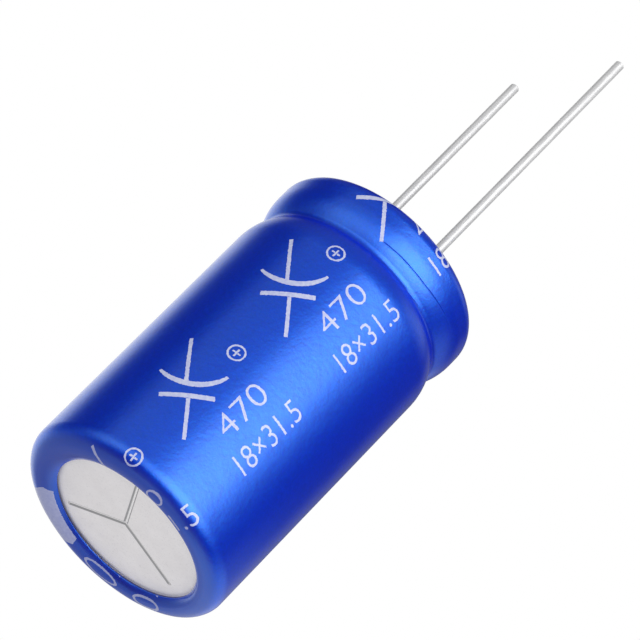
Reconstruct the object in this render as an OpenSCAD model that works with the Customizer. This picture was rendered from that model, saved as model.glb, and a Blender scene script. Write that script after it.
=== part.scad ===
// Radial aluminium electrolytic capacitor in a shrink sleeve, standing on its vented end.
// The origin is the centre of that end, +Z runs towards the leads, +X to the positive lead.

/* [Can] */
// Outside diameter of the drawn can
can_d = 18; // [16:0.5:22]
// Height of the can from its foot ring to the crown of its rolled rim
can_h = 31.4; // [26:0.5:45]
// Thickness of the aluminium, side and end alike
can_wall = 0.35; // [0.25:0.05:0.4]
// Outside radius of the corner between the side and the foot ring
corner_r = 1.28; // [1:0.02:1.6]
// Width of the flat foot ring that the part stands on
foot_flat = 0.15; // [0.1:0.05:0.6]

/* [Vent end] */
// Width of the sloping ring between the foot and the recessed panel
ring_w = 0.05; // [0.05:0.01:0.15]
// Depth of the panel behind the foot ring
panel_depth = 0.65; // [0.55:0.05:0.8]
// Width of each scored line at the panel's face
score_w = 0.34; // [0.2:0.02:0.5]
// Depth of each scored line
score_depth = 0.2; // [0.1:0.02:0.24]
// Distance from the end of each scored line to the edge of the panel
score_stop = 1; // [0.2:0.1:3]
// Directions of the three scored lines, in degrees from the positive lead
score_dirs = [-51, 72, 186]; // [-180:1:360]

/* [Rolled groove] */
// Distance from the middle of the groove up to the crown of the rolled rim
groove_drop = 4.35; // [4.2:0.05:5]
// Depth of the groove
groove_depth = 0.68; // [0.4:0.02:0.9]
// Radius at the bottom of the groove
groove_r = 0.78; // [0.6:0.02:1]
// Radius of the shoulder below the groove
shoulder_r = 4.7; // [3:0.1:5]
// Radius of the bulge above the groove
bulge_r = 3.9; // [3:0.1:4]
// Outside radius of the rolled rim
curl_r = 1.08; // [0.9:0.02:1.2]
// Width of the flattened crown of the rolled rim
crown_flat = 0.3; // [0.1:0.05:0.5]

/* [Sleeve] */
// Thickness of the shrink film
film_t = 0.13; // [0.08:0.01:0.2]
// Width over which the film runs on straight past the can's ring, above the recess
lip_reach = 0.3; // [0.2:0.01:0.4]
// Width of the film's lip, which dips into the recess without touching its wall
lip_w = 0.12; // [0.05:0.01:0.14]
// How far the film turns inward round the crown, in degrees
film_lap = 30; // [10:5:60]

/* [Rubber bung] */
// Height of the bung's straight side below the shoulder of the groove
bung_skirt = 0.15; // [0.05:0.05:2]
// Distance from the bung's top face up to the crown of the rolled rim
bung_drop = 0.4; // [0.2:0.05:0.7]
// Radial play round each wire's root where it leaves the bung
exit_play = 0.08; // [0.05:0.01:0.3]
// Width and depth of the flare at the mouth of each wire hole
flare = 0.35; // [0.1:0.05:0.6]

/* [Leads] */
// Distance between the two leads
lead_pitch = 7.5; // [7:0.1:8]
// Diameter of the lead wire
lead_d = 0.8; // [0.6:0.1:1]
// Length of the positive lead beyond the crown
positive_lead_len = 27.2; // [5:0.1:40]
// Length of the negative lead beyond the crown
negative_lead_len = 22.6; // [5:0.1:35]
// Radial swelling of the wire's root, where it is welded to the stub
root_swell = 0.05; // [0.02:0.01:0.1]
// Distance past the bung's top face at which the root has tapered to the drawn wire
root_rise = 0.15; // [0.12:0.01:0.3]
// Chamfer that the cutter leaves round the tip of each lead
tip_chamfer = 0.06; // [0.02:0.01:0.15]

/* [Tabs] */
// Diameter of the round stub that seals in the bung
stub_d = 2.2; // [1.8:0.1:2.6]
// Diameter of the welded collar round the wire
collar_d = 1.3; // [1.2:0.05:1.6]
// Height of the collar
collar_h = 0.6; // [0.4:0.1:1]
// Depth of the wire's seat in the collar and stub
seat_depth = 0.9; // [0.5:0.1:1.4]
// Distance from the top of the collar to the bung's top face
collar_drop = 1.4; // [1:0.1:2]
// Thickness of the flattened tab
tab_t = 0.3; // [0.2:0.02:0.35]
// Half of the angle that the tab covers round the winding
tab_half_angle = 22; // [14:1:26]
// Height between the bottom of the bung and the top of the winding
head_gap = 1.5; // [1.2:0.1:3]
// Height of the foil left bare below the end of the tab
tab_stop = 2; // [1:0.5:6]

/* [Winding] */
// Thickness of the etched anode foil
anode_t = 0.11; // [0.08:0.01:0.14]
// Thickness of the cathode foil
cathode_t = 0.06; // [0.04:0.01:0.1]
// Thickness of each paper separator
paper_t = 0.06; // [0.04:0.01:0.08]
// Thickness of the closing tape
tape_t = 0.06; // [0.04:0.01:0.1]
// Height by which the papers pass the foils at each end
paper_margin = 1; // [0.5:0.1:2]
// Height by which the closing tape stops short of the papers at each end
tape_margin = 1.6; // [0.5:0.1:4]
// Whole turns wound between the core and the tabs
inner_turns = 6; // [4:1:7]
// Smallest gap between the winding and the can
winding_play = 0.15; // [0.1:0.05:0.4]

/* [Fits] */
// Gap left between pieces that touch
slip = 0.02; // [0.01:0.005:0.03]
// Gap left between the turns of the winding
turn_gap = 0.01; // [0.005:0.005:0.02]
// Gap left on each side of a tab's blade in the winding
blade_gap = 0.03; // [0.02:0.005:0.05]

/* [Hidden] */
$fn = 96;
// Angle between neighbouring points on an arc of the profile
arc_step = 9;

// Forms of the vent end that the drawing die sets
recess_slope = 75;
ring_slope = 30;
recess_fillet = 0.1;
recess_edge_r = 0.45;
ring_foot_r = 0.5;

// Slope of the film's lip, and the radius of the bend above it
lip_slope = 50;
lip_bend_r = 0.6;

// Heights
can_r = can_d / 2;
foot_z = film_t + slip;
crown_z = foot_z + can_h;
floor_z = foot_z + panel_depth + can_wall;
groove_z = crown_z - groove_drop;
bung_top_z = crown_z - bung_drop;
bore_r = can_r - can_wall;

// The groove dips between two arcs that meet its bottom arc at these angles
shoulder_angle = acos(1 - groove_depth / (shoulder_r + groove_r));
bulge_angle = acos(1 - groove_depth / (bulge_r + groove_r));
shoulder_z = groove_z - (shoulder_r + groove_r) * sin(shoulder_angle);
bulge_z = groove_z + (bulge_r + groove_r) * sin(bulge_angle);
bung_z = shoulder_z - bung_skirt;

// The steep wall of the recess covers the height that the ring and the curves leave,
// and the flat panel covers the width that is left
recess_wall = (panel_depth - ring_foot_r * (1 - cos(ring_slope)) - ring_w * tan(ring_slope)
    - recess_edge_r * (cos(ring_slope) - cos(recess_slope))
    - recess_fillet * (1 - cos(recess_slope))) / sin(recess_slope);
panel_r = can_r - corner_r - foot_flat - ring_foot_r * sin(ring_slope) - ring_w
    - recess_edge_r * (sin(recess_slope) - sin(ring_slope))
    - recess_wall * cos(recess_slope) - recess_fillet * sin(recess_slope);

// The can's outer surface as moves from the middle of the panel: [length, 0] is a straight,
// [radius, turn] an arc that turns left if positive. The solid lies on the left.
panel_moves = [[panel_r, 0], [recess_fillet, -recess_slope], [recess_wall, 0],
    [recess_edge_r, recess_slope - ring_slope]];
foot_moves = [[ring_w / cos(ring_slope), 0], [ring_foot_r, ring_slope], [foot_flat, 0],
    [corner_r, 90], [shoulder_z - foot_z - corner_r, 0]];
groove_moves = [[shoulder_r, shoulder_angle], [groove_r, -shoulder_angle - bulge_angle],
    [bulge_r, bulge_angle], [crown_z - curl_r - bulge_z, 0], [curl_r, 90], [crown_flat, 0]];
rim_moves = [[curl_r, 90]];

// The film leaves the can at the ring, and its lip has a path of its own
lip_moves = [[lip_w / cos(lip_slope), 0], [lip_bend_r, lip_slope - ring_slope],
    [lip_reach / cos(ring_slope), 0]];
lap_moves = [[curl_r, film_lap]];

function ahead(h) = [cos(h), sin(h)];
function left(h) = [-sin(h), cos(h)];

// Where an arc of radius r from point p with heading h has got to when its heading is a
function on_arc(p, h, r, a) = p + sign(a - h) * r * (left(h) - left(a));

// Point and heading after all moves, from point p with heading h
function arrive(moves, p, h, i = 0) =
    i == len(moves) ? [p, h]
    : let (size = moves[i][0], turn = moves[i][1])
        turn == 0 ? arrive(moves, p + size * ahead(h), h, i + 1)
        : arrive(moves, on_arc(p, h, size, h + turn), h + turn, i + 1);

// Points of the moves' parallel curve, which lies a distance o outside the can's surface
function along(moves, p, h, o, i = 0) =
    i == len(moves) ? [p - o * left(h)]
    : let (
        size = moves[i][0],
        turn = moves[i][1],
        steps = max(1, ceil(abs(turn) / arc_step)),
        next = arrive([moves[i]], p, h)
    )
    concat(
        [for (k = [0 : steps - 1])
            let (a = h + turn * k / steps)
            on_arc(p, h, size, a) - o * left(a)],
        along(moves, next[0], next[1], o, i + 1)
    );

function flip(list) = [for (i = [len(list) - 1 : -1 : 0]) list[i]];

// A layer between two parallel curves of the same moves
module layer(moves, p, h, inner, outer) {
    rotate_extrude()
        polygon(concat(along(moves, p, h, outer), flip(along(moves, p, h, inner))));
}

panel_start = [0, foot_z + panel_depth];
ring_start = arrive(panel_moves, panel_start, 0)[0];
lip_start = ring_start - arrive(lip_moves, [0, 0], -lip_slope)[0];

module sleeve() {
    color("royalblue")
        layer(concat(lip_moves, foot_moves, groove_moves, lap_moves), lip_start, -lip_slope,
            slip, slip + film_t);
}

module score_line() {
    rotate([90, 0, 90])
        linear_extrude(panel_r - score_stop)
            polygon([[-score_w / 2, 0], [score_w / 2, 0], [0, score_depth]]);
}

module can() {
    color("gainsboro")
        difference() {
            layer(concat(panel_moves, foot_moves, groove_moves, rim_moves), panel_start, 0,
                -can_wall, 0);
            for (dir = score_dirs)
                translate([0, 0, panel_start.y])
                    rotate(dir)
                        score_line();
        }
}

// The bung fills the can's mouth, and the rolled rim bites into its top face
module bung_blank() {
    wall = can_wall + slip;
    rim_r = can_r - 2 * curl_r - crown_flat;
    rim_z = crown_z - curl_r;
    side = along(concat([[shoulder_z - bung_z, 0]], groove_moves, rim_moves), [can_r, bung_z], 90, -wall);
    rotate_extrude()
        polygon(concat([[0, bung_z]], side, [
            [rim_r + wall, rim_z - slip],
            [rim_r - slip, rim_z - slip],
            [rim_r - slip, bung_top_z],
            [0, bung_top_z]
        ]));
}

// Heights of a tab, from the top down
collar_top_z = bung_top_z - collar_drop;
stub_top_z = collar_top_z - collar_h - (stub_d - collar_d) / 2;
wire_z = collar_top_z - seat_depth;
root_r = lead_d / 2 + root_swell;
root_top_z = bung_top_z + root_rise;
winding_top_z = bung_z - head_gap;
neck_lift = 0.1;
foil_z = floor_z + slip + paper_margin;

// Round stub of a tab with its shoulder and collar, grown by a gap for the hole that it fills
module stub(low_z, gap = 0) {
    r = stub_d / 2 + gap;
    neck_r = collar_d / 2 + gap;
    rotate_extrude()
        polygon([
            [0, low_z],
            [r, low_z],
            [r, stub_top_z],
            [neck_r, stub_top_z + r - neck_r],
            [neck_r, collar_top_z + gap],
            [0, collar_top_z + gap]
        ]);
}

module wire_hole() {
    r = root_r + exit_play;
    translate([0, 0, collar_top_z])
        cylinder(r = r, h = collar_drop + 1);
    translate([0, 0, bung_top_z - flare])
        cylinder(r1 = r, r2 = r + flare, h = flare);
}

// The wire's root tapers from its seat in the tab to just outside the bung
module wire_root(gap) {
    translate([0, 0, wire_z])
        cylinder(r1 = root_r + gap, r2 = lead_d / 2 + gap, h = root_top_z - wire_z);
}

module at_leads() {
    for (side = [-1, 1])
        translate([side * lead_pitch / 2, 0, 0])
            children();
}

module bung() {
    color("dimgray")
        difference() {
            bung_blank();
            at_leads() {
                stub(bung_z - 1, slip);
                wire_hole();
            }
        }
}

module lead(side, len) {
    tip_z = crown_z + len;
    color("silver")
        translate([side * lead_pitch / 2, 0, 0])
            rotate_extrude()
                polygon([
                    [0, wire_z],
                    [root_r, wire_z],
                    [lead_d / 2, root_top_z],
                    [lead_d / 2, tip_z - tip_chamfer],
                    [lead_d / 2 - tip_chamfer, tip_z],
                    [0, tip_z]
                ]);
}

module positive_lead() {
    lead(1, positive_lead_len);
}

module negative_lead() {
    lead(-1, negative_lead_len);
}

// The winding is four strips wound together from the positive side. A turn is two half turns
// whose centres lie on the X axis, so that each runs on smoothly into the next.
strip_t = [paper_t, anode_t, paper_t, cathode_t];
function stack(s) = s == 0 ? 0 : stack(s - 1) + strip_t[s - 1] + turn_gap;
turn_pitch = stack(4);
pocket = tab_t + 2 * blade_gap - turn_gap;
core_r = lead_pitch / 2 - tab_t / 2 - blade_gap - anode_t - stack(1) - inner_turns * turn_pitch;
turns = floor((bore_r - winding_play - core_r - pocket - tape_t) / turn_pitch) - 1;

// Inner radius of strip s at the start and in the middle of turn j. The strips outside a tab
// stand off by the pocket that holds it.
function radius_at_start(s, j) =
    core_r + j * turn_pitch + stack(s) + (j > inner_turns || (j == inner_turns && s > 1) ? pocket : 0);
function radius_at_middle(s, j) =
    core_r + (j + 0.5) * turn_pitch + stack(s) + (j > inner_turns - 1 ? pocket : 0);

// Part of a half turn between two radii on the X axis, over a span of degrees from angle a
module wrap(plus_r, minus_r, out, t, h, a, span) {
    translate([(plus_r - minus_r) / 2, 0, 0])
        rotate(a)
            rotate_extrude(angle = span)
                translate([(plus_r + minus_r) / 2 + out, 0])
                    square([t, h]);
}

module strip(s, t, z, h, first, last) {
    translate([0, 0, z])
        for (j = [first : last]) {
            wrap(radius_at_start(s, j), radius_at_middle(s, j), 0, t, h, 0, 180);
            wrap(radius_at_start(s, j + 1), radius_at_middle(s, j), 0, t, h, 180, 180);
        }
}

paper_h = winding_top_z - floor_z - slip;
foil_h = paper_h - 2 * paper_margin;

module inner_separator() {
    color("wheat")
        strip(0, paper_t, floor_z + slip, paper_h, 0, turns - 1);
}

module outer_separator() {
    color("burlywood")
        strip(2, paper_t, floor_z + slip, paper_h, 0, turns - 1);
}

module anode_foil() {
    color("darkgray")
        strip(1, anode_t, foil_z, foil_h, 1, turns - 2);
}

module cathode_foil() {
    color("lightgray")
        strip(3, cathode_t, foil_z, foil_h, 1, turns - 2);
}

module closing_tape() {
    color("khaki")
        strip(0, tape_t, floor_z + slip + tape_margin, paper_h - 2 * tape_margin, turns, turns);
}

// Flattened end of a tab, rolled to lie on strip s where that strip crosses the X axis. The strip
// runs on there from one half turn into the next, and the blade takes the mean of their centres.
module tab_blade(side, s, t) {
    here = side > 0 ? radius_at_start(s, inner_turns) : radius_at_middle(s, inner_turns - 1);
    before = side > 0 ? radius_at_middle(s, inner_turns - 1) : radius_at_start(s, inner_turns - 1);
    after = side > 0 ? radius_at_middle(s, inner_turns) : radius_at_start(s, inner_turns);
    half_turn_r = here / 2 + (before + after) / 4;
    low_z = foil_z + tab_stop;
    rotate(side > 0 ? 0 : 180)
        translate([here - half_turn_r, 0, low_z])
            rotate(-tab_half_angle)
                rotate_extrude(angle = 2 * tab_half_angle)
                    translate([half_turn_r + t + blade_gap, 0])
                        square([tab_t, bung_z - head_gap / 2 - low_z]);
}

// Neck where the round stub is pressed down to the blade's thickness. Its lower end lies inside
// the blade, just above the winding.
module tab_neck() {
    low_z = winding_top_z + neck_lift;
    intersection() {
        translate([0, 0, low_z])
            cylinder(d = stub_d, h = bung_z - low_z);
        rotate([90, 0, 0])
            linear_extrude(2 * stub_d, center = true)
                polygon([
                    [-tab_t / 4, low_z],
                    [tab_t / 4, low_z],
                    [stub_d / 2 + slip, bung_z],
                    [-stub_d / 2 - slip, bung_z]
                ]);
    }
}

module tab(side, s, t) {
    color("darkgray")
        difference() {
            union() {
                translate([side * lead_pitch / 2, 0, 0]) {
                    stub(bung_z);
                    tab_neck();
                }
                tab_blade(side, s, t);
            }
            translate([side * lead_pitch / 2, 0, 0])
                wire_root(slip);
        }
}

module positive_tab() {
    tab(1, 1, anode_t);
}

module negative_tab() {
    tab(-1, 3, cathode_t);
}

sleeve();
can();
bung();
positive_lead();
negative_lead();
positive_tab();
negative_tab();
anode_foil();
cathode_foil();
inner_separator();
outer_separator();
closing_tape();
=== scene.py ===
import math

import bpy
import numpy as np
from mathutils import Matrix, Vector
from mathutils.geometry import delaunay_2d_cdt


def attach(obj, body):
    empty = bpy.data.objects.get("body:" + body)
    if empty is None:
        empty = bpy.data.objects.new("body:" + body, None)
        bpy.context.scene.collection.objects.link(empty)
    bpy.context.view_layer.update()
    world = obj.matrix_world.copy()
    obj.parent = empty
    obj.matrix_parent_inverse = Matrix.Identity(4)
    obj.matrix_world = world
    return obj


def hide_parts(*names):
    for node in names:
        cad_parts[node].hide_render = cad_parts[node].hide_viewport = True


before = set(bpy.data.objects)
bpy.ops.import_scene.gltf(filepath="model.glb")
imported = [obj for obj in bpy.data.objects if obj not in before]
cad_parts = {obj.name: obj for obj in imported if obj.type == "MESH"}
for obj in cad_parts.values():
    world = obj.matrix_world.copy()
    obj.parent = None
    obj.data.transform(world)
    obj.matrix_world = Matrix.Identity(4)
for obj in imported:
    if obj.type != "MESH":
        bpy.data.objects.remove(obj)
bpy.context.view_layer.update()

MM = 0.001
SEED = 11
rng = np.random.default_rng(SEED)

# Sizes of the can and its film, as the part's source has them, in millimetres and degrees
CAN_R, CAN_H, CORNER_R, FOOT_FLAT = 9.0, 31.4, 1.28, 0.15
RING_W, RING_SLOPE, RING_FOOT_R = 0.05, 30, 0.5
LIP_REACH, LIP_W, LIP_SLOPE, LIP_BEND_R = 0.3, 0.12, 50, 0.6
GROOVE_DROP, GROOVE_DEPTH, GROOVE_R = 4.35, 0.68, 0.78
SHOULDER_R, BULGE_R, CURL_R, CROWN_FLAT = 4.7, 3.9, 1.08, 0.3
FILM_T, FILM_LAP, SLIP = 0.13, 30, 0.02
FOOT_R = CAN_R - CORNER_R - FOOT_FLAT
SCORE_DIRS, SCORE_LENGTH = (-51, 72, 186), 5.91

# The visual film's outer face lies this far inside the solid one's, which leaves room for its waves
BOX_CLEAR = 0.012
TOP = FILM_T + SLIP - BOX_CLEAR

# Steps along the film's profile, in millimetres and degrees
WHOLE, FINE, COARSE = (9, 90), (0.05, 0.75), (0.7, 6)

# The camera's place and axes, solved from the outline in the photograph, in the row frame
CAMERA_AT = (231.96, -184.17, -145.8)
CAMERA_RIGHT = (0.71635, 0.33955, 0.60955)
CAMERA_UP = (-0.15872, -0.7714, 0.61623)
CAMERA_LENS, SENSOR = 253.1, 36.0
CAMERA_CLIP = 0.01, 10

# Directions around the can: SIDE runs to the right and down in the picture, AWAY from the camera
SIDE = np.array([0.621, 0.784, 0.0])
AWAY = np.array([-0.784, 0.621, 0.0])
ALONG = np.array([0.0, 0.0, 1.0])


def sind(a):
    return math.sin(math.radians(a))


def cosd(a):
    return math.cos(math.radians(a))


# The film's profile

def ahead(h):
    return np.array([cosd(h), sind(h)])


def left(h):
    return np.array([-sind(h), cosd(h)])


def trace(moves, p, h, step, step_deg):
    """Points, headings and lengths along a list of moves: (length, 0) is a straight, (radius, turn) an arc."""
    points, headings, lengths = [p], [h], [0.0]
    for size, turn in moves:
        long = size if turn == 0 else size * math.radians(abs(turn))
        n = max(1, math.ceil(long / step if turn == 0 else abs(turn) / step_deg))
        for k in range(1, n + 1):
            a = h + turn * k / n
            if turn == 0:
                points.append(p + size * k / n * ahead(h))
            else:
                points.append(p + math.copysign(size, turn) * (left(h) - left(a)))
            headings.append(a)
            lengths.append(lengths[-1] + long / n)
        p, h = points[-1], h + turn
    return np.array(points), np.array(headings), np.array(lengths)


def film_moves():
    """The can's wall under the film as moves, from the lip at the vent to the film's edge on the rim."""
    foot_z = FILM_T + SLIP
    crown_z = foot_z + CAN_H
    groove_z = crown_z - GROOVE_DROP
    shoulder = math.degrees(math.acos(1 - GROOVE_DEPTH / (SHOULDER_R + GROOVE_R)))
    bulge = math.degrees(math.acos(1 - GROOVE_DEPTH / (BULGE_R + GROOVE_R)))
    shoulder_z = groove_z - (SHOULDER_R + GROOVE_R) * sind(shoulder)
    bulge_z = groove_z + (BULGE_R + GROOVE_R) * sind(bulge)
    lip = [
        (LIP_W / cosd(LIP_SLOPE), 0), (LIP_BEND_R, LIP_SLOPE - RING_SLOPE),
        ((LIP_REACH + RING_W) / cosd(RING_SLOPE), 0), (RING_FOOT_R, RING_SLOPE),
    ]
    start = np.array([FOOT_R, foot_z]) - trace(lip, np.zeros(2), -LIP_SLOPE, *WHOLE)[0][-1]
    return lip + [
        (FOOT_FLAT, 0), (CORNER_R, 90),
        (shoulder_z - foot_z - CORNER_R, 0), (SHOULDER_R, shoulder), (GROOVE_R, -shoulder - bulge),
        (BULGE_R, bulge), (crown_z - CURL_R - bulge_z, 0), (CURL_R, 90), (CROWN_FLAT, 0), (CURL_R, FILM_LAP),
    ], start


# The can's wall under the film and its outward normals, traced a little past the film's edge, and the
# film's outer face with its length from the lip
PAST_EDGE = 20
MOVES, START = film_moves()
_points, _headings, _lengths = trace(MOVES + [(CURL_R, PAST_EDGE)], START, -LIP_SLOPE, *FINE)
PR, PZ = _points.T
NR = np.array([-left(h)[0] for h in _headings])
NZ = np.array([-left(h)[1] for h in _headings])
_outer = np.c_[PR + NR * TOP, PZ + NZ * TOP]
OUTER_R, OUTER_Z = _outer.T
PS = np.r_[0, np.cumsum(np.hypot(*np.diff(_outer, axis=0).T))]
_to_edge = sum(size if turn == 0 else size * math.radians(abs(turn)) for size, turn in MOVES)
S_END = np.interp(_to_edge, _lengths, PS)

# On the straight side the length along the profile is the height above the foot plus this
SIDE_LOW, SIDE_MIDDLE, SIDE_HIGH = 5, 15.0, 24
_side = (OUTER_Z > SIDE_LOW) & (OUTER_Z < SIDE_HIGH)
S_SIDE = np.interp(SIDE_MIDDLE, OUTER_Z[_side], PS[_side]) - SIDE_MIDDLE

# The film's opening is not quite on the can's axis. Its lip is drawn out to the opening's edge,
# lies at one depth all round, and bends inward more and more steeply.
OPEN_R, OPEN_OFF, OPEN_AZ, OPEN_Z = 6.6, 0.35, 51.6, 0.47
# Waves of the opening's edge: how many go round, their phase and their height
OPEN_WAVES = (3, 1, 0.02), (7, 0, 0.012)
FOOT_Z, LIP_R = BOX_CLEAR, float(OUTER_R[0])
# The profile's first points, which reach past the foot
LIP_POINTS = 200
S_FOOT = float(np.interp(FOOT_R, OUTER_R[:LIP_POINTS], PS[:LIP_POINTS]))


def draw_out(az, s, r, z):
    """The film's outer face at length s, drawn out from the foot towards the opening's edge."""
    edge = OPEN_R + OPEN_OFF * np.cos(az - math.radians(OPEN_AZ))
    for count, phase, height in OPEN_WAVES:
        edge = edge + height * np.sin(count * az + phase)
    share = np.maximum((FOOT_R - r) / (FOOT_R - LIP_R), 0)
    deep = FOOT_Z + (OPEN_Z - FOOT_Z) * (0.6 * share ** 2 + 0.4 * share ** 3)
    on_lip = s < S_FOOT
    return np.where(on_lip, FOOT_R - share * (FOOT_R - edge), r), np.where(on_lip, deep, z)


def bell(x, middle, width):
    return np.exp(-((x - middle) / width) ** 2)


def gate(x, low, high, soft):
    """1 between low and high, fading to 0 over about soft outside them."""
    return 0.5 * (np.tanh((x - low) / soft) - np.tanh((x - high) / soft))


# Small waves all over the film: how many, their range of turns round the can and of pace along it
WAVE_COUNT, WAVE_TURNS, WAVE_PACE, WAVE_HEIGHT = 14, (2, 16), (0.25, 1.1), 0.0006
_waves = [(int(rng.integers(*WAVE_TURNS)), rng.uniform(*WAVE_PACE), rng.uniform(0, 2 * math.pi))
          for _ in range(WAVE_COUNT)]
# A crease above the groove, as azimuths in degrees and heights, with a swell beside it
CREASE = [-50, -35, -25, -17, -10, -2, 10], [28.14, 28.24, 28.28, 28.33, 28.45, 28.58, 28.75]
CREASE_ENDS, CREASE_DEPTH, CREASE_W, CREASE_WAVE = (-47, 6, 5), 0.03, 0.045, 0.012
SWELL_OFF, SWELL_HEIGHT, SWELL_W = 0.09, 0.01, 0.07
# A short fold in the groove, with its azimuth in degrees, its height there and its tilt per degree
FOLD_ENDS, FOLD_DEPTH, FOLD_W, FOLD_AZ, FOLD_Z, FOLD_TILT = (-19, -11, 1.5), 0.03, 0.07, -15, 27.15, 0.02
WAVES_MOST = BOX_CLEAR * 0.8


def dent(az, s, z):
    """Height of the film's small waves and creases over its smooth form, in millimetres."""
    d = np.zeros_like(z)
    for turns, pace, phase in _waves:
        d += WAVE_HEIGHT * np.sin(turns * az + pace * s * 2 + phase)
    deg = (np.degrees(az) + 180) % 360 - 180
    crease = np.interp(deg, *CREASE) + CREASE_WAVE * np.sin(np.radians(deg * 9))
    d -= CREASE_DEPTH * bell(z, crease, CREASE_W) * gate(deg, *CREASE_ENDS)
    d += SWELL_HEIGHT * bell(z, crease + SWELL_OFF, SWELL_W) * gate(deg, *CREASE_ENDS)
    d -= FOLD_DEPTH * bell(z, FOLD_Z + FOLD_TILT * (deg - FOLD_AZ), FOLD_W) * gate(deg, *FOLD_ENDS)
    return np.minimum(d, WAVES_MOST)


def film_point(az, s, out):
    """Points on the film: az in radians, s along the profile, out millimetres outside the can's wall."""
    r, z = np.interp(s, PS, PR), np.interp(s, PS, PZ)
    nr, nz = np.interp(s, PS, NR), np.interp(s, PS, NZ)
    before = np.minimum(s, 0)
    r, z = r + before * cosd(LIP_SLOPE), z - before * sind(LIP_SLOPE)
    # The outer face is drawn out, and the film's thickness stays as it is
    r, z = draw_out(az, s, r + nr * TOP, z + nz * TOP)
    d = out - TOP + dent(az, s, z)
    r, z = r + nr * d, z + nz * d
    return np.stack([r * np.cos(az), r * np.sin(az), z], -1)


def film_normal(az, s):
    """Outward normals of the film's outer face."""
    e = 0.004
    du = film_point(az + e / CAN_R, s, TOP) - film_point(az - e / CAN_R, s, TOP)
    dv = film_point(az, s + e, TOP) - film_point(az, s - e, TOP)
    n = np.cross(du, dv)
    return n / np.linalg.norm(n, axis=-1, keepdims=True)


# Print on the film. A shape is a list of closed loops in millimetres, x along the can and y towards
# smaller azimuth, and is inked where an odd number of its loops goes round a point.

def bar(x0, y0, x1, y1, w):
    """A straight stroke with square ends."""
    d = np.array([x1 - x0, y1 - y0], float)
    d /= np.hypot(*d)
    side = np.array([-d[1], d[0]]) * w / 2
    a, b = np.array([x0, y0]), np.array([x1, y1])
    return [np.array([a - side, b - side, b + side, a + side])]


def circle(x, y, r, n=40):
    t = np.linspace(0, 2 * math.pi, n, endpoint=False)
    return np.c_[x + r * np.cos(t), y + r * np.sin(t)]


def ring(x, y, r, w):
    return [circle(x, y, r + w / 2), circle(x, y, r - w / 2)]


def arc_stroke(x, y, r, a0, a1, w0, w1, n=26):
    """A curved stroke that swells from its ends to its middle."""
    t = np.radians(np.linspace(a0, a1, n))
    w = w0 + (w1 - w0) * np.sin(np.linspace(0, math.pi, n)) ** 0.7
    line = np.c_[np.cos(t), np.sin(t)]
    return [np.r_[(x, y) + line * (r + w / 2)[:, None], ((x, y) + line * (r - w / 2)[:, None])[::-1]]]


def polygon(points):
    return [np.array(points, float)]


def digits(text, height, width, weight):
    """Loops of plain numbers in Blender's own font, from the origin to the right."""
    curve = bpy.data.curves.new("digits", "FONT")
    curve.body, curve.size, curve.resolution_u, curve.offset = text, 1.0, 5, weight
    obj = bpy.data.objects.new("digits", curve)
    bpy.context.scene.collection.objects.link(obj)
    bpy.context.view_layer.update()
    mesh = obj.to_mesh()
    # The outline's edges belong to one face only
    count = {}
    for p in mesh.polygons:
        for e in p.edge_keys:
            count[e] = count.get(e, 0) + 1
    co = np.array([v.co[:2] for v in mesh.vertices])
    links = {}
    for (a, b), n in count.items():
        if n == 1:
            links.setdefault(a, []).append(b)
            links.setdefault(b, []).append(a)
    loops, used = [], set()
    for first in links:
        if first in used:
            continue
        loop, here, before = [first], first, None
        used.add(first)
        while True:
            onward = [v for v in links[here] if v != before and v not in used]
            if not onward:
                break
            before, here = here, onward[0]
            used.add(here)
            loop.append(here)
        loops.append(co[loop])
    obj.to_mesh_clear()
    bpy.data.objects.remove(obj)
    bpy.data.curves.remove(curve)
    scale = height / max(l[:, 1].max() for l in loops)
    low = min(l[:, 0].min() for l in loops)
    loops = [np.c_[(l[:, 0] - low) * scale, l[:, 1] * scale] for l in loops]
    low, high = min(l[:, 0].min() for l in loops), max(l[:, 0].max() for l in loops)
    return [np.c_[(l[:, 0] - low) * width / (high - low), l[:, 1]] for l in loops]


RAGGED_STEP, RAGGED = 0.09, 0.013


def ragged(loop):
    """A loop with the slightly ragged edge that ink has on shrunk film."""
    points = []
    for p, q in zip(loop, np.roll(loop, -1, axis=0)):
        n = max(1, round(float(np.hypot(*(q - p))) / RAGGED_STEP))
        points += [p + (q - p) * t / n for t in range(n)]
    return np.array(points) + rng.normal(0, RAGGED, (len(points), 2))


MM_PER_DEG = math.radians(1) * (CAN_R + TOP)
# The print repeats at this pitch along the can, and the film shows these repeats of it
PITCH, REPEATS = 11.94, range(-1, 3)
SIGN_AT, PLUS_AT, PLUS_R, PLUS_REACH, PLUS_W = (4.25, -45), (12.74, -57.5), 0.66, 0.36, 0.15
PLUS_GAP = 0.1
# Numbers, each with its height, width, weight, start along the can and azimuth. Those on the far side
# start from the film's cut edge, where the last strokes of one repeat are left.
NEAR_NUMBERS = ("470", 1.75, 4.9, -0.012, 6.95, -31.6), ("18×31.5", 1.75, 6.9, -0.008, 6.15, -14.0)
FAR_NUMBERS = (
    ("470", 4.1, 4.3, -0.02, -2.75, 145), ("16", 4.1, 4.4, -0.02, 3.6, 145), ("470", 3.2, 5.2, -0.015, -3.3, 108),
)
STRIPE_AZ, STRIPE_HALF, CHAMFER, STRIPE_GAP, STRIPE_START, BLOCKS = 177.5, 3.6, 0.9, 0.4, 2.5, 8
MINUS_INSET, MINUS_W = 0.75, 0.55


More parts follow.
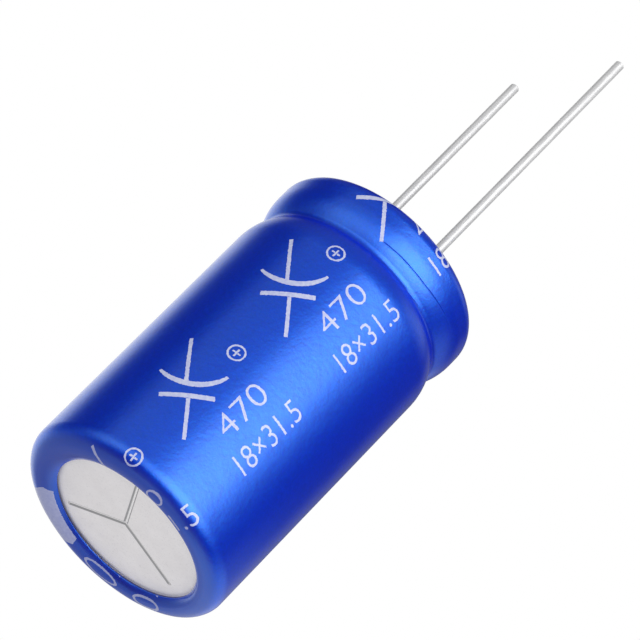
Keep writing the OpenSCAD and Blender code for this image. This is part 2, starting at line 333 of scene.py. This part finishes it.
def print_shapes():
    """Every printed shape, as loops in (azimuth in millimetres round the side, length along the profile)."""
    shapes = []

    def place(shape, z, az):
        shapes.append([np.c_[az * MM_PER_DEG - l[:, 1], z + S_SIDE + l[:, 0]] for l in shape])

    for k in REPEATS:
        # The sign for a polarised capacitor: a straight plate, a curved plate and a lead on each
        for shape in (
            bar(0.15, 0.2, 3.05, 2.15, 0.29),
            bar(2.05, 4.1, 4.3, 0.65, 0.4),
            arc_stroke(7.1, 4.35, 3.3, 158, 258, 0.2, 0.46),
            bar(4.1, 3.2, 7.7, 5.6, 0.29),
        ):
            place(shape, SIGN_AT[0] + k * PITCH, SIGN_AT[1])
        # A ring with a plus, whose upright is in two pieces beside the level stroke
        for shape in (
            ring(0, 0, PLUS_R, PLUS_W),
            bar(-PLUS_REACH, 0, PLUS_REACH, 0, PLUS_W),
            bar(0, PLUS_GAP, 0, PLUS_REACH, PLUS_W),
            bar(0, -PLUS_REACH, 0, -PLUS_GAP, PLUS_W),
        ):
            place(shape, PLUS_AT[0] + k * PITCH, PLUS_AT[1])
        for text, height, width, weight, start, az in NEAR_NUMBERS:
            place(digits(text, height, width, weight), start + k * PITCH, az)
        for text, height, width, weight, start, az in FAR_NUMBERS:
            place(digits(text, height, width, weight), PITCH * (k + 1) - S_SIDE + start, az)
    # The polarity stripe: a chain of chamfered blocks, each with a minus sign left clear in it, and
    # the end of one block on the ring round the vent
    place(polygon([(0.3, 3.3), (0.95, 3.6), (2.1, 2.6), (2.1, -2.6), (0.95, -3.6), (0.3, -3.3)]),
          -S_SIDE, STRIPE_AZ)
    block, narrow = PITCH / 3, STRIPE_HALF - CHAMFER
    for k in range(BLOCKS):
        x0, x1 = STRIPE_START + k * block, STRIPE_START + (k + 1) * block - STRIPE_GAP
        low, high = x0 + CHAMFER, x1 - CHAMFER
        shape = polygon([(x0, narrow), (low, STRIPE_HALF), (high, STRIPE_HALF), (x1, narrow),
                         (x1, -narrow), (high, -STRIPE_HALF), (low, -STRIPE_HALF), (x0, -narrow)])
        place(shape + bar(x0 + MINUS_INSET, 0, x1 - MINUS_INSET, 0, MINUS_W), -S_SIDE, STRIPE_AZ)
    return [[ragged(l) for l in shape] for shape in shapes]


def inside(loops, points):
    """Which points an odd number of the loops goes round."""
    odd = np.zeros(len(points), bool)
    x, y = points.T
    for loop in loops:
        a, b = loop, np.roll(loop, -1, axis=0)
        for (x0, y0), (x1, y1) in zip(a, b):
            if y0 == y1:
                continue
            hit = (y0 > y) != (y1 > y)
            odd ^= hit & (x < x0 + (y - y0) * (x1 - x0) / (y1 - y0))
    return odd


# The film's mesh: a grid, with finer rows at the lip and the crease, and patches cut along the print
COLUMNS = 264
COLUMN_W = 2 * math.pi * (CAN_R + TOP) / COLUMNS
LIP_ROWS, ROW_GAP = 15, 0.02
CREASE_ROWS, CREASE_STEP = [28.0, 28.85], 0.03
EDGE_TURNS, INNER_EVERY = [35, 90, 145], 3
PATCH_COLUMNS, PATCH_MARGIN, EDGE_STEP, SAME_POINT = 0.2, 0.05, 0.2, 1e-4


def film_rows():
    """Lengths along the profile of the rows of the film's outer face."""
    _, _, coarse = trace(MOVES, START, -LIP_SLOPE, *COARSE)
    s = np.interp(coarse, _lengths, PS)
    s = s[s > S_FOOT * 1.02]
    near = np.linspace(0, S_FOOT, LIP_ROWS)
    top = np.interp(CREASE_ROWS, OUTER_Z[OUTER_R > 8], PS[OUTER_R > 8])
    rows = np.unique(np.r_[near, s, np.arange(top[0], top[1], CREASE_STEP)])
    keep = [rows[0]]
    for x in rows[1:]:
        if x - keep[-1] > ROW_GAP:
            keep.append(x)
    keep[-1] = S_END
    return np.array(keep)


def print_patches(rows):
    """Patches of the grid that hold the print: first and last column, first and last row, and shapes.
    Shapes whose boxes share cells are in one patch."""
    boxes = []
    for shape in print_shapes():
        pts = np.concatenate(shape)
        i0 = math.floor(pts[:, 0].min() / COLUMN_W - PATCH_COLUMNS)
        i1 = math.ceil(pts[:, 0].max() / COLUMN_W + PATCH_COLUMNS)
        low, high = max(pts[:, 1].min(), rows[0]), min(pts[:, 1].max(), rows[-1])
        if low >= high:
            continue
        j0 = max(0, int(np.searchsorted(rows, low - PATCH_MARGIN)) - 1)
        j1 = min(len(rows) - 1, int(np.searchsorted(rows, high + PATCH_MARGIN)))
        boxes.append([i0, i1, j0, j1, [shape]])
    merged = True
    while merged:
        merged = False
        for a in range(len(boxes)):
            for b in range(a + 1, len(boxes)):
                p, q = boxes[a], boxes[b]
                if p[0] < q[1] and q[0] < p[1] and p[2] < q[3] and q[2] < p[3]:
                    boxes[a] = [min(p[0], q[0]), max(p[1], q[1]), min(p[2], q[2]), max(p[3], q[3]), p[4] + q[4]]
                    del boxes[b]
                    merged = True
                    break
            if merged:
                break
    return boxes


def closely(loop):
    """A loop without doubled points, and with more of them on its long edges to follow the curved film."""
    loop = loop[np.hypot(*(loop - np.roll(loop, 1, axis=0)).T) > SAME_POINT]
    points = []
    for p, q in zip(loop, np.roll(loop, -1, axis=0)):
        k = max(1, math.ceil(np.hypot(*(q - p)) / EDGE_STEP))
        points += [tuple(p + (q - p) * t / k) for t in range(k)]
    return points if len(loop) > 2 else []


def cut_patch(rows, vid, patch):
    """A patch as triangles: points, the grid's vertex at each (or None), corners, and which are inked."""
    i0, i1, j0, j1, group = patch
    wide = i1 - i0 + 1
    points = [(i * COLUMN_W, rows[j]) for j in range(j0, j1 + 1) for i in range(i0, i1 + 1)]
    ids = [vid(j, i) for j in range(j0, j1 + 1) for i in range(i0, i1 + 1)]
    edges = []
    for k in range(j1 - j0):
        edges += [(k * wide, (k + 1) * wide), ((k + 1) * wide - 1, (k + 2) * wide - 1)]
    last = (j1 - j0) * wide
    for k in range(wide - 1):
        edges += [(k, k + 1), (last + k, last + k + 1)]
    for shape in group:
        for loop in shape:
            more = closely(np.c_[loop[:, 0], np.clip(loop[:, 1], rows[j0], rows[j1])])
            first = len(points)
            points += more
            edges += [(first + t, first + (t + 1) % len(more)) for t in range(len(more))]
    out = delaunay_2d_cdt([Vector(p) for p in points], edges, [], 0, 1e-5, True)
    co = np.array([tuple(v) for v in out[0]])
    grid = [next((ids[x] for x in origin if x < len(ids)), None) for origin in out[3]]
    corners = np.array([t for t in out[2] if len(t) == 3])
    a, b, c = co[corners[:, 0]], co[corners[:, 1]], co[corners[:, 2]]
    turned_over = (b[:, 0] - a[:, 0]) * (c[:, 1] - a[:, 1]) - (b[:, 1] - a[:, 1]) * (c[:, 0] - a[:, 0]) <= 0
    corners[turned_over] = corners[turned_over][:, ::-1]
    centre = co[corners].mean(axis=1)
    inked = np.zeros(len(corners), bool)
    for shape in group:
        inked |= inside(shape, centre)
    return co, grid, corners, inked


def make_film(film_material, ink_material):
    rows = film_rows()
    n = len(rows)
    turn = np.arange(COLUMNS) * 2 * math.pi / COLUMNS
    cap = np.radians(EDGE_TURNS)
    middle, half = (TOP + SLIP) / 2, (TOP - SLIP) / 2
    inner = rows[::-1][::INNER_EVERY]
    inner = np.r_[inner, rows[0]] if inner[-1] != rows[0] else inner
    # Once round the film's section: outer face, rounded edge on the rim, inner face, rounded lip
    loop = ([(s, TOP) for s in rows] + [(S_END + half * math.sin(a), middle + half * math.cos(a)) for a in cap]
            + [(s, SLIP) for s in inner] + [(-half * math.sin(a), middle - half * math.cos(a)) for a in cap])
    m = len(loop)
    A, S = np.meshgrid(turn, np.array([s for s, _ in loop]))
    O = np.repeat(np.array([out for _, out in loop])[:, None], COLUMNS, 1)
    vertices = [film_point(A.ravel(), S.ravel(), O.ravel())]
    params = [np.c_[A.ravel(), S.ravel()]]
    total = m * COLUMNS
    taken = np.zeros((m, COLUMNS), bool)
    faces, inks = [], []

    def vid(j, i):
        return j * COLUMNS + i % COLUMNS

    for patch in print_patches(rows):
        co, grid, corners, inked = cut_patch(rows, vid, patch)
        added = [k for k, v in enumerate(grid) if v is None]
        new = list(grid)
        for k in added:
            new[k] = total
            total += 1
        if added:
            params.append(np.c_[co[added, 0] / (CAN_R + TOP), co[added, 1]])
            vertices.append(film_point(params[-1][:, 0], params[-1][:, 1], np.full(len(added), TOP)))
        for t, ink in zip(corners, inked):
            face = [new[x] for x in t]
            if len(set(face)) == 3:
                faces.append(face)
                inks.append(int(ink))
        i0, i1, j0, j1, _ = patch
        taken[j0:j1, np.arange(i0, i1) % COLUMNS] = True
    for j in range(m):
        for i in range(COLUMNS):
            if not taken[j, i]:
                k = (j + 1) % m
                faces.append([vid(j, i), vid(j, i + 1), vid(k, i + 1), vid(k, i)])
                inks.append(0)
    co, params = np.concatenate(vertices) * MM, np.concatenate(params)
    mesh = bpy.data.meshes.new("sleeve_film")
    mesh.from_pydata([tuple(v) for v in co], [], faces)
    mesh.materials.append(film_material)
    mesh.materials.append(ink_material)
    mesh.polygons.foreach_set("material_index", inks)
    mesh.polygons.foreach_set("use_smooth", [True] * len(faces))
    mesh.update()
    mesh.validate()
    # The outer face takes its normals from its formula, apart from two rows at the lip
    normals = np.array([v.normal for v in mesh.vertices])
    outer = np.ones(len(co), bool)
    outer[n * COLUMNS:m * COLUMNS] = False
    outer[:2 * COLUMNS] = False
    normals[outer] = film_normal(params[outer, 0], params[outer, 1])
    mesh.normals_split_custom_set_from_vertices([tuple(x) for x in normals])
    obj = bpy.data.objects.new("sleeve_film", mesh)
    bpy.context.scene.collection.objects.link(obj)
    return obj


# Materials

class Look:
    """A material's node tree, with short calls for the nodes that the looks use."""

    def __init__(self, name, color, metallic=0.0, roughness=0.5):
        self.material = bpy.data.materials.new(name)
        self.material.use_nodes = True
        self.tree = self.material.node_tree
        self.bsdf = self.tree.nodes["Principled BSDF"]
        self.set("Base Color", (*color, 1))
        self.set("Metallic", metallic)
        self.set("Roughness", roughness)
        self.where = self.node("ShaderNodeTexCoord").outputs["Object"]

    def node(self, kind, **values):
        node = self.tree.nodes.new(kind)
        for key, value in values.items():
            setattr(node, key, value)
        return node

    def link(self, a, b):
        self.tree.links.new(a, b)

    def set(self, socket, value):
        self.bsdf.inputs[socket].default_value = value

    def drive(self, socket, value):
        """Links a value or colour to one of the shader's sockets."""
        self.link(value, self.bsdf.inputs[socket])

    def mapped(self, socket, value):
        """Object coordinates, turned by Rotation or multiplied by Scale."""
        node = self.node("ShaderNodeMapping")
        node.inputs[socket].default_value = value
        self.link(self.where, node.inputs["Vector"])
        return node.outputs["Vector"]

    def noise(self, size_mm, detail=2.0, rough=0.5, vector=None):
        node = self.node("ShaderNodeTexNoise")
        node.inputs["Scale"].default_value = 1 / (size_mm * MM)
        node.inputs["Detail"].default_value = detail
        node.inputs["Roughness"].default_value = rough
        self.link(vector or self.where, node.inputs["Vector"])
        return node.outputs["Fac"]

    def part(self, vector, axis):
        """One coordinate of a vector."""
        node = self.node("ShaderNodeSeparateXYZ")
        self.link(vector, node.inputs[0])
        return node.outputs[axis]

    def sum_up(self, operation, *values):
        """Values joined by one operation, such as MULTIPLY."""
        so_far = values[0]
        for value in values[1:]:
            node = self.node("ShaderNodeMath", operation=operation)
            for socket, v in zip(node.inputs, (so_far, value)):
                if isinstance(v, (int, float)):
                    socket.default_value = v
                else:
                    self.link(v, socket)
            so_far = node.outputs[0]
        return so_far

    def spread(self, value, low, high, to_low=0, to_high=1):
        """A value between low and high, moved to the range from to_low to to_high."""
        node = self.node("ShaderNodeMapRange")
        for key, v in zip(("From Min", "From Max", "To Min", "To Max"), (low, high, to_low, to_high)):
            node.inputs[key].default_value = v
        self.link(value, node.inputs["Value"])
        return node.outputs["Result"]

    def by_height(self, low, high, below=0, above=1):
        """A change from below to above between two heights in millimetres."""
        return self.spread(self.part(self.where, "Z"), low * MM, high * MM, below, above)

    def blend(self, fac, a, b):
        """A colour between a and b; each is a colour or a socket."""
        node = self.node("ShaderNodeMix", data_type="RGBA")
        self.link(fac, node.inputs["Factor"])
        for socket, value in ((node.inputs[6], a), (node.inputs[7], b)):
            if isinstance(value, tuple):
                socket.default_value = (*value, 1)
            else:
                self.link(value, socket)
        return node.outputs[2]

    def bump(self, height, distance_mm):
        """Adds a bump over those that the shader has."""
        node = self.node("ShaderNodeBump")
        node.inputs["Strength"].default_value = 1.0
        node.inputs["Distance"].default_value = distance_mm * MM
        self.link(height, node.inputs["Height"])
        last = self.bsdf.inputs["Normal"]
        if last.is_linked:
            self.link(last.links[0].from_socket, node.inputs["Normal"])
        self.link(node.outputs["Normal"], last)


# Heights between which the painted shade of the vented end gives way to the look of the side
END_SHADE_FADE = 0.2, 0.62


def film_look():
    look = Look("film", (0.001, 0.005, 0.66), roughness=0.3)
    slow, grain = look.noise(2.2, 3), look.spread(look.noise(0.2, 3, 0.7), 0.35, 0.65)
    side = look.blend(grain, (0.001, 0.003, 0.56), (0.002, 0.008, 0.76))
    # Painted shade: the vented end's film is painted darker and more purple than the side
    shaded_end = look.blend(slow, (0.026, 0.001, 0.34), (0.034, 0.002, 0.38))
    look.drive("Base Color", look.blend(look.by_height(*END_SHADE_FADE), shaded_end, side))
    look.drive("Roughness", look.spread(look.noise(0.35, 3), 0.3, 0.7, 0.28, 0.36))
    # A bright blue gloss over the colour, as dyed film has on metal, and a clear one over that
    look.set("IOR", 2.6)
    look.set("Specular IOR Level", 1.0)
    look.set("Specular Tint", (0.0, 0.3, 1.0, 1))
    look.set("Coat Weight", 1.0)
    look.set("Coat Roughness", 0.2)
    look.bump(look.noise(1.6, 2), 0.03)
    look.bump(look.noise(0.42, 3, 0.6), 0.03)
    look.bump(look.noise(0.12, 2), 0.007)
    return look.material


def ink_look():
    look = Look("ink", (0.66, 0.7, 0.95), roughness=0.4)
    thin = look.noise(0.25, 3)
    worn = look.spread(thin, 0.35, 0.65)
    # Painted shade: the ink on the vented end is painted darker than on the side
    shaded_end = look.blend(worn, (0.3, 0.33, 0.6), (0.36, 0.39, 0.64))
    side = look.blend(worn, (0.56, 0.6, 0.93), (0.7, 0.74, 0.96))
    look.drive("Base Color", look.blend(look.by_height(*END_SHADE_FADE), shaded_end, side))
    look.drive("Roughness", look.spread(thin, 0.3, 0.7, 0.35, 0.5))
    look.set("Coat Weight", 0.5)
    look.set("Coat Roughness", 0.1)
    look.bump(look.noise(0.1, 2), 0.002)
    return look.material


# Heights between which the painted blue reflection and shade on the recess's wall gives way to the vent's panel,
# and those that hold the scores
WALL_REFLECTION_FADE, SCORES_LOW, SCORES_HIGH = (0.72, 0.78), (0.5, 0.55), (1.0, 1.05)


def can_look():
    look = Look("can", (0.93, 0.92, 0.93), metallic=0.1, roughness=0.5)
    patches = look.noise(1.6, 4, 0.6)
    specks = look.noise(0.14, 3, 0.7)
    ground = look.blend(look.spread(patches, 0.35, 0.65), (0.9, 0.875, 0.89), (0.95, 0.925, 0.94))
    ground = look.blend(look.spread(specks, 0.56, 0.68, 0, 0.5), ground, (0.7, 0.68, 0.71))
    # Painted reflection and shade: the recess's wall, close under the film's lip, is painted dark blue for the
    # film it mirrors and the shade under the lip
    ground = look.blend(look.by_height(*WALL_REFLECTION_FADE, 1, 0), ground, (0.06, 0.07, 0.3))
    # The scored lines are painted dark at both edges, as painted shade of the groove's walls, and bright between
    # them, as a painted highlight
    shade, shine = [], []
    for angle in SCORE_DIRS:
        vector = look.mapped("Rotation", (0, 0, -math.radians(angle)))
        along, across = look.part(vector, "X"), look.part(vector, "Y")
        reach = look.sum_up("MULTIPLY", look.spread(along, -0.1 * MM, 0.1 * MM),
                            look.spread(along, (SCORE_LENGTH - 0.15) * MM, (SCORE_LENGTH + 0.05) * MM, 1, 0),
                            look.by_height(*SCORES_LOW), look.by_height(*SCORES_HIGH, 1, 0))
        across = look.sum_up("MAXIMUM", across, look.sum_up("MULTIPLY", across, -1))
        shine.append(look.sum_up("MULTIPLY", reach, look.spread(across, 0.06 * MM, 0.1 * MM, 1, 0)))
        shade.append(look.sum_up("MULTIPLY", reach, look.spread(across, 0.18 * MM, 0.22 * MM, 1, 0)))
    ground = look.blend(look.sum_up("MAXIMUM", *shade), ground, (0.4, 0.4, 0.41))
    look.drive("Base Color", look.blend(look.sum_up("MAXIMUM", *shine), ground, (1.0, 0.99, 1.0)))
    look.drive("Roughness", look.spread(look.noise(0.6, 3), 0.3, 0.7, 0.42, 0.55))
    look.bump(look.noise(0.22, 3), 0.004)
    return look.material


def wire_look():
    look = Look("wire", (0.92, 0.92, 0.93), metallic=0.35, roughness=0.3)
    drawn = look.noise(0.16, 3, vector=look.mapped("Scale", (1, 1, 0.12)))
    look.drive("Base Color", look.blend(look.spread(drawn, 0.3, 0.7), (0.84, 0.84, 0.85), (0.97, 0.97, 0.98)))
    look.drive("Roughness", look.spread(drawn, 0.3, 0.7, 0.22, 0.36))
    look.bump(drawn, 0.0015)
    return look.material


def rubber_look():
    look = Look("rubber", (0.03, 0.03, 0.033), roughness=0.6)
    grain = look.noise(0.3, 4, 0.6)
    look.drive("Base Color", look.blend(grain, (0.022, 0.022, 0.025), (0.045, 0.045, 0.05)))
    look.drive("Roughness", look.spread(grain, 0.3, 0.7, 0.5, 0.7))
    look.bump(look.noise(0.12, 3), 0.008)
    return look.material


def plain_look(name, dark, light, size, metallic, roughness, bump):
    """A grainy look between two colours; size is the grain's and bump its height, in millimetres."""
    look = Look(name, dark, metallic=metallic, roughness=roughness)
    grain = look.noise(size, 3)
    look.drive("Base Color", look.blend(look.spread(grain, 0.3, 0.7), dark, light))
    look.drive("Roughness", look.spread(grain, 0.3, 0.7, roughness - 0.07, roughness + 0.07))
    look.bump(grain, bump)
    return look.material


def dress(look, *names):
    """Gives the named solids of the frame a material."""
    for name in names:
        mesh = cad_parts[name].data
        mesh.materials.clear()
        mesh.materials.append(look)


dress(can_look(), "can")
dress(rubber_look(), "bung")
dress(wire_look(), "positive_lead", "negative_lead")
dress(plain_look("tab", (0.7, 0.7, 0.72), (0.82, 0.82, 0.84), 0.4, 0.9, 0.35, 0.004),
      "positive_tab", "negative_tab")
dress(plain_look("anode_foil", (0.4, 0.4, 0.41), (0.5, 0.5, 0.51), 0.3, 0.8, 0.7, 0.003), "anode_foil")
dress(plain_look("cathode_foil", (0.6, 0.6, 0.62), (0.7, 0.7, 0.72), 0.3, 0.9, 0.4, 0.002), "cathode_foil")
dress(plain_look("paper", (0.62, 0.5, 0.34), (0.76, 0.65, 0.47), 0.5, 0.0, 0.75, 0.006),
      "inner_separator", "outer_separator")
dress(plain_look("tape", (0.6, 0.48, 0.2), (0.7, 0.58, 0.28), 0.8, 0.0, 0.3, 0.002), "closing_tape")

sleeve = make_film(film_look(), ink_look())
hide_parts("sleeve")
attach(sleeve, "root")


# Camera, light and stage

def turned(columns):
    """A rotation whose columns are the given axes."""
    return Matrix(np.array(columns).T.tolist()).to_quaternion()


camera_data = bpy.data.cameras.new("camera")
camera_data.lens, camera_data.sensor_width = CAMERA_LENS, SENSOR
camera_data.clip_start, camera_data.clip_end = CAMERA_CLIP
camera = bpy.data.objects.new("camera", camera_data)
bpy.context.scene.collection.objects.link(camera)
camera.location = Vector(CAMERA_AT) * MM
camera.rotation_mode = "QUATERNION"
camera.rotation_quaternion = turned([CAMERA_RIGHT, CAMERA_UP, np.cross(CAMERA_RIGHT, CAMERA_UP)])
bpy.context.scene.camera = camera

CENTRE = np.array([0, 0, 0.016])


def towards(turn, rise):
    """Direction from the can: turn from the camera's side towards SIDE, rise towards the leads."""
    return cosd(rise) * (sind(turn) * SIDE - cosd(turn) * AWAY) + sind(rise) * ALONG


# Lamps: name, turn, rise, distance, width, height and radiance. Gloss shows the tent instead of them.
LAMPS = ("main_lamp", 24, 18, 0.45, 0.54, 0.56, 1.08), ("low_lamp", 30, -68, 0.4, 0.5, 0.5, 0.68)


def make_lamp(name, turn, rise, distance, wide, high, radiance):
    data = bpy.data.lights.new(name, "AREA")
    data.shape, data.size, data.size_y = "RECTANGLE", wide, high
    data.energy = radiance * math.pi * wide * high
    obj = bpy.data.objects.new(name, data)
    bpy.context.scene.collection.objects.link(obj)
    back = towards(turn, rise)
    across = np.cross(ALONG, back)
    across /= np.linalg.norm(across)
    obj.location = Vector(CENTRE + back * distance)
    obj.rotation_mode = "QUATERNION"
    obj.rotation_quaternion = turned([across, np.cross(back, across), back])
    obj.visible_glossy = False


# Soft panels of the tent, in degrees: turn of the middle, half width, blur, rise of the middle,
# half height, blur, and level
PANELS = [
    (20, 27, 11, 0, 32, 7, 3.3),
    (42, 24, 12, 10, 30, 6, 0.4),
    (-42, 34, 15, -11, 18, 6, 1.1),
    (-46, 29, 6, 21, 8, 10, 0.75),
    (9, 105, 30, 73, 36, 6, 0.21),
    (88, 31, 6, 54, 8, 6, 0.5),
    (118, 26, 12, -2, 15, 8, 0.4),
    (-156, 22, 8, 14, 26, 8, 1.1),
    (152, 8, 9, 7, 11, 7, 0.9),
    (164, 31, 6, 66, 42, 8, 0.16),
    (180, 75, 20, -55, 45, 10, 0.32),
    (0, 180, 20, -92, 14, 8, 0.3),
]
TENT_FLOOR, TENT_R = 0.04, 0.9
TENT_TURNS, TENT_RISES = np.linspace(-180, 180, 121), np.linspace(-89, 89, 61)
# The card at the vented end: its radius, the turn of its middle, half its width, and its level, which
# fades before its sides and below and above a band of heights
CARD_R, CARD_TURN, CARD_HALF, CARD_LEVEL = 0.032, 128, 52, 0.5
CARD_INSET, CARD_BLUR = 14, 10
CARD_BAND, CARD_BAND_HALF, CARD_BAND_BLUR = -0.02, 0.034, 0.007
CARD_TURNS = np.linspace(CARD_TURN - CARD_HALF, CARD_TURN + CARD_HALF, 25)
CARD_HEIGHTS = np.linspace(-0.06, 0.03, 31)


def soft(x, half, blur):
    """1 within half of the middle, fading to 0 over about blur on each side."""
    return 0.5 * (math.tanh((x + half) / blur) - math.tanh((x - half) / blur))


def tent_level(turn, rise):
    """How bright the tent is towards each direction."""
    level = TENT_FLOOR
    for middle, half, blur, high, half_high, blur_high, strength in PANELS:
        apart = (turn - middle + 180) % 360 - 180
        level += strength * soft(apart, half, blur) * soft(rise - high, half_high, blur_high)
    return level


def card_level(turn, z):
    return (CARD_LEVEL * soft(turn - CARD_TURN, CARD_HALF - CARD_INSET, CARD_BLUR)
            * soft(z - CARD_BAND, CARD_BAND_HALF, CARD_BAND_BLUR))


def glow(name, rows, see_through=False):
    """A sheet that glows by the levels at its points and that only gloss shows. Each row is a list
    of (point, level). A see-through sheet lets what is behind it show where it glows less."""
    across = len(rows[0]) - 1
    mesh = bpy.data.meshes.new(name)
    mesh.from_pydata([tuple(p) for row in rows for p, _ in row], [],
                     [(k, k + 1, k + across + 2, k + across + 1)
                      for j in range(len(rows) - 1) for k in range(j * (across + 1), j * (across + 1) + across)])
    levels = mesh.attributes.new("level", "FLOAT", "POINT").data
    levels.foreach_set("value", [float(v) for row in rows for _, v in row])
    material = bpy.data.materials.new(name)
    material.use_nodes = True
    tree = material.node_tree
    tree.nodes.clear()
    level = tree.nodes.new("ShaderNodeAttribute")
    level.attribute_name = "level"
    emission = tree.nodes.new("ShaderNodeEmission")
    output = tree.nodes.new("ShaderNodeOutputMaterial")
    shine = emission.outputs[0]
    if see_through:
        clear, mix = tree.nodes.new("ShaderNodeBsdfTransparent"), tree.nodes.new("ShaderNodeMixShader")
        emission.inputs["Strength"].default_value = 1.0
        tree.links.new(level.outputs["Fac"], mix.inputs["Fac"])
        tree.links.new(clear.outputs[0], mix.inputs[1])
        tree.links.new(shine, mix.inputs[2])
        shine = mix.outputs[0]
    else:
        tree.links.new(level.outputs["Fac"], emission.inputs["Strength"])
    tree.links.new(shine, output.inputs["Surface"])
    material.cycles.emission_sampling = "NONE"
    mesh.materials.append(material)
    obj = bpy.data.objects.new(name, mesh)
    bpy.context.scene.collection.objects.link(obj)
    obj.visible_camera = obj.visible_diffuse = obj.visible_shadow = False


def make_tent():
    """A tent of soft panels round the object, and a white card that stands close to its vented end."""
    glow("tent", [[(CENTRE + towards(turn, rise) * TENT_R, tent_level(turn, rise)) for turn in TENT_TURNS]
                  for rise in TENT_RISES])
    glow("card", [[(towards(turn, 0) * CARD_R + ALONG * z, card_level(turn, z)) for turn in CARD_TURNS]
                  for z in CARD_HEIGHTS], see_through=True)


WORLD_LIGHT, WORLD_SEEN = 0.55, 1.0


def make_world():
    """A white world that lights the object at a lower level than the one it shows."""
    world = bpy.data.worlds.new("world")
    bpy.context.scene.world = world
    world.use_nodes = True
    tree = world.node_tree
    background = tree.nodes["Background"]
    background.inputs["Color"].default_value = (1, 1, 1, 1)
    path = tree.nodes.new("ShaderNodeLightPath")
    seen = path.outputs["Is Camera Ray"]
    for name in ("Is Glossy Ray", "Is Transmission Ray"):
        most = tree.nodes.new("ShaderNodeMath")
        most.operation = "MAXIMUM"
        tree.links.new(seen, most.inputs[0])
        tree.links.new(path.outputs[name], most.inputs[1])
        seen = most.outputs[0]
    level = tree.nodes.new("ShaderNodeMapRange")
    level.inputs["To Min"].default_value = WORLD_LIGHT
    level.inputs["To Max"].default_value = WORLD_SEEN
    tree.links.new(seen, level.inputs["Value"])
    tree.links.new(level.outputs["Result"], background.inputs["Strength"])


FLOOR_CELLS, FLOOR_HALF, FLOOR_Z, FLOOR_WHITE = 8, 3.0, -0.0002, 0.93


def make_floor():
    """A pale floor under the part. From below it isn't seen, so that the camera looks through it."""
    n = FLOOR_CELLS
    spots = np.linspace(-FLOOR_HALF, FLOOR_HALF, n + 1)
    vertices = [(x, y, FLOOR_Z) for y in spots for x in spots]
    faces = [(j * (n + 1) + i, j * (n + 1) + i + 1, (j + 1) * (n + 1) + i + 1, (j + 1) * (n + 1) + i)
             for j in range(n) for i in range(n)]
    mesh = bpy.data.meshes.new("floor")
    mesh.from_pydata(vertices, [], faces)
    material = bpy.data.materials.new("floor")
    material.use_nodes = True
    tree = material.node_tree
    bsdf = tree.nodes["Principled BSDF"]
    bsdf.inputs["Base Color"].default_value = (FLOOR_WHITE, FLOOR_WHITE, FLOOR_WHITE, 1)
    bsdf.inputs["Roughness"].default_value = 0.9
    bsdf.inputs["Specular IOR Level"].default_value = 0.1
    clear = tree.nodes.new("ShaderNodeBsdfTransparent")
    side = tree.nodes.new("ShaderNodeNewGeometry")
    mix = tree.nodes.new("ShaderNodeMixShader")
    tree.links.new(side.outputs["Backfacing"], mix.inputs["Fac"])
    tree.links.new(bsdf.outputs[0], mix.inputs[1])
    tree.links.new(clear.outputs[0], mix.inputs[2])
    tree.links.new(mix.outputs[0], tree.nodes["Material Output"].inputs["Surface"])
    mesh.materials.append(material)
    obj = bpy.data.objects.new("floor", mesh)
    bpy.context.scene.collection.objects.link(obj)
    obj.visible_diffuse = obj.visible_glossy = obj.visible_transmission = obj.visible_shadow = False


for row in LAMPS:
    make_lamp(*row)
make_tent()
make_world()
make_floor()

bpy.context.scene.view_settings.view_transform = "Standard"
